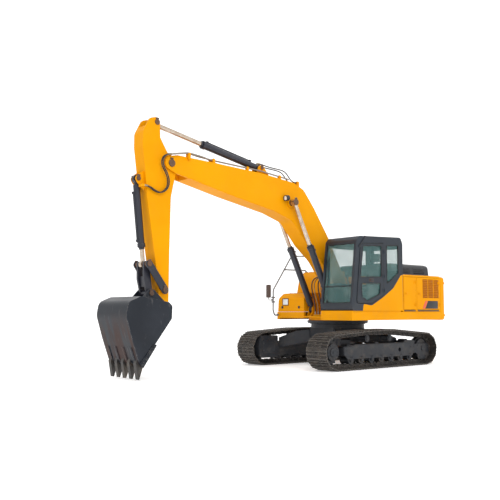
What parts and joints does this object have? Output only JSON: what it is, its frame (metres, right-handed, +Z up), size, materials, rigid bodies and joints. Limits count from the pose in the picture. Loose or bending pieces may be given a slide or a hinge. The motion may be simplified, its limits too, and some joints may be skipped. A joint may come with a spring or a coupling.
{
  "type": "crawler excavator",
  "caption": "Tracked excavator with a slewing cab, boom, arm and bucket moved by hydraulic cylinders.",
  "frame": {"origin": "on the ground, under the middle of the machine's box", "axes": "+X forward along the boom, +Y to the cab side, +Z up"},
  "size_m": [8.8918, 2.964, 5.0953],
  "materials": {
    "machine_yellow": "satin paint",
    "cab_charcoal": "satin paint",
    "hood_black": "satin paint",
    "track_steel": "worn and dusty",
    "undercarriage_paint": "dusty satin paint",
    "cylinder_paint": "satin paint",
    "rod_chrome": "polished",
    "linkage_steel": "satin paint",
    "bucket_steel": "worn satin paint",
    "tooth_steel": "worn bright",
    "cab_glass": "tinted, clear",
    "pipe_steel": "dull zinc",
    "rail_grey": "satin paint",
    "lamp_black": "moulded",
    "mirror_shell": "moulded",
    "hose_rubber": "ribbed, dusty",
    "seat_trim": "moulded and upholstered",
    "engine_grey": "cast",
    "radiator_core": "finned"
  },
  "bodies": {
    "undercarriage": {"centre_frame": "undercarriage_paint", "side_frame_left": "undercarriage_paint", "side_frame_right": "undercarriage_paint", "track_left": "track_steel", "track_right": "track_steel", "sprocket_left": "undercarriage_paint", "sprocket_right": "undercarriage_paint", "idler_left": "undercarriage_paint", "idler_right": "undercarriage_paint", "rollers_left": "undercarriage_paint", "rollers_right": "undercarriage_paint", "slew_ring": "undercarriage_paint"},
    "upper": {"platform": "machine_yellow", "counterweight": "machine_yellow", "engine_bay": "machine_yellow", "engine_block": "engine_grey", "radiator": "radiator_core", "fuel_tank": "machine_yellow", "toolbox": "machine_yellow", "handrail": "rail_grey", "cab_frame": "cab_charcoal", "cab_glass": "cab_glass", "cab_seat": "seat_trim", "exhaust": "hood_black", "mirror": "mirror_shell", "side_panel_left": "machine_yellow", "boom_hoses": "hose_rubber"},
    "cab_door": {"cab_door": "cab_charcoal", "cab_door_glass": "cab_glass"},
    "engine_hood": {"engine_hood": "hood_black"},
    "service_door_left_front": {"service_door_left_front": "machine_yellow"},
    "service_door_left_rear": {"service_door_left_rear": "machine_yellow"},
    "service_door_right": {"service_door_right": "machine_yellow"},
    "boom": {"boom": "machine_yellow", "boom_pipes": "pipe_steel", "work_lamp": "lamp_black", "arm_cylinder_hoses": "hose_rubber"},
    "boom_cylinder_barrels": {"boom_cylinder_barrels": "cylinder_paint"},
    "boom_cylinder_rods": {"boom_cylinder_rods": "rod_chrome"},
    "arm": {"arm": "machine_yellow", "arm_hoses": "hose_rubber"},
    "arm_cylinder_barrel": {"arm_cylinder_barrel": "cylinder_paint"},
    "arm_cylinder_rod": {"arm_cylinder_rod": "rod_chrome"},
    "bucket_cylinder_barrel": {"bucket_cylinder_barrel": "cylinder_paint"},
    "bucket_cylinder_rod": {"bucket_cylinder_rod": "rod_chrome"},
    "bucket_levers": {"bucket_levers": "linkage_steel"},
    "bucket_link": {"bucket_link": "linkage_steel"},
    "bucket": {"bucket": "bucket_steel", "bucket_teeth": "tooth_steel"}
  },
  "joints": [
    {"name": "slew", "type": "hinge", "parent": "undercarriage", "child": "upper", "pos_m": [-1.741, 0, 1.018], "axis": [0, 0, 1], "continuous": true},
    {"name": "cab_door_swing", "type": "hinge", "parent": "upper", "child": "cab_door", "pos_m": [-1.803, 1.415, 2.1], "axis": [0, 0, 1], "range_deg": [0, 150]},
    {"name": "engine_hood_lift", "type": "hinge", "parent": "upper", "child": "engine_hood", "pos_m": [-4.019, 0, 2.172], "axis": [0, -1, 0], "range_deg": [0, 60]},
    {"name": "service_door_left_front_swing", "type": "hinge", "parent": "upper", "child": "service_door_left_front", "pos_m": [-2.999, 1.392, 1.675], "axis": [0, 0, 1], "range_deg": [0, 100]},
    {"name": "service_door_left_rear_swing", "type": "hinge", "parent": "upper", "child": "service_door_left_rear", "pos_m": [-3.962, 1.392, 1.675], "axis": [0, 0, 1], "range_deg": [0, 100]},
    {"name": "service_door_right_swing", "type": "hinge", "parent": "upper", "child": "service_door_right", "pos_m": [-3.962, -1.392, 1.675], "axis": [0, 0, -1], "range_deg": [0, 100]},
    {"name": "boom_lift", "type": "hinge", "parent": "upper", "child": "boom", "pos_m": [-1.827, 0, 1.657], "axis": [0, -1, 0], "range_deg": [-66, 33], "deforming": ["boom_hoses"]},
    {"name": "arm_crowd", "type": "hinge", "parent": "boom", "child": "arm", "pos_m": [3.267, 0, 4.215], "axis": [0, 1, 0], "range_deg": [-79, 35], "deforming": ["arm_hoses"]},
    {"name": "bucket_curl", "type": "hinge", "parent": "arm", "child": "bucket", "pos_m": [3.396, 0, 1.308], "axis": [0, 1, 0], "range_deg": [-15, 140]},
    {"name": "boom_cylinder_tilt", "type": "hinge", "parent": "upper", "child": "boom_cylinder_barrels", "pos_m": [-1.214, 0, 1.32], "axis": [0, -1, 0], "range_deg": [-71.69, 36]},
    {"name": "boom_cylinder_stroke", "type": "slide", "parent": "boom_cylinder_barrels", "child": "boom_cylinder_rods", "axis": [0.451, 0, 0.8925], "range_m": [-0.6724, 0.3377]},
    {"name": "arm_cylinder_tilt", "type": "hinge", "parent": "boom", "child": "arm_cylinder_barrel", "pos_m": [0.809, 0, 4.46], "axis": [0, 1, 0], "range_deg": [-4.66, 2.23]},
    {"name": "arm_cylinder_stroke", "type": "slide", "parent": "arm_cylinder_barrel", "child": "arm_cylinder_rod", "axis": [0.9817, 0, 0.1907], "range_m": [-1.0095, 0.4489]},
    {"name": "bucket_cylinder_tilt", "type": "hinge", "parent": "arm", "child": "bucket_cylinder_barrel", "pos_m": [3.959, 0, 3.84], "axis": [0, 1, 0], "range_deg": [-5.37, 0.84]},
    {"name": "bucket_cylinder_stroke", "type": "slide", "parent": "bucket_cylinder_barrel", "child": "bucket_cylinder_rod", "axis": [-0.1111, 0, -0.9938], "range_m": [-0.1072, 0.9753]},
    {"name": "bucket_lever_turn", "type": "hinge", "parent": "arm", "child": "bucket_levers", "pos_m": [3.409, 0, 1.69], "axis": [0, 1, 0], "range_deg": [-11.67, 106.4]},
    {"name": "bucket_link_turn", "type": "hinge", "parent": "bucket_levers", "child": "bucket_link", "pos_m": [3.774, 0, 2.185], "axis": [0, 1, 0], "range_deg": [-66.06, 7.35]}
  ],
  "couplings": [
    {"joint": "boom_cylinder_tilt", "follows": "boom_lift", "ratio": 1.0817},
    {"joint": "boom_cylinder_stroke", "follows": "boom_lift", "m_per_rad": 0.58112},
    {"joint": "arm_cylinder_tilt", "follows": "arm_crowd", "ratio": 0.055171},
    {"joint": "arm_cylinder_stroke", "follows": "arm_crowd", "m_per_rad": 0.73},
    {"joint": "bucket_cylinder_tilt", "follows": "bucket_curl", "ratio": -0.036235},
    {"joint": "bucket_cylinder_stroke", "follows": "bucket_curl", "m_per_rad": 0.39792},
    {"joint": "bucket_lever_turn", "follows": "bucket_curl", "ratio": 0.75785},
    {"joint": "bucket_link_turn", "follows": "bucket_curl", "ratio": -0.46974}
  ]
}
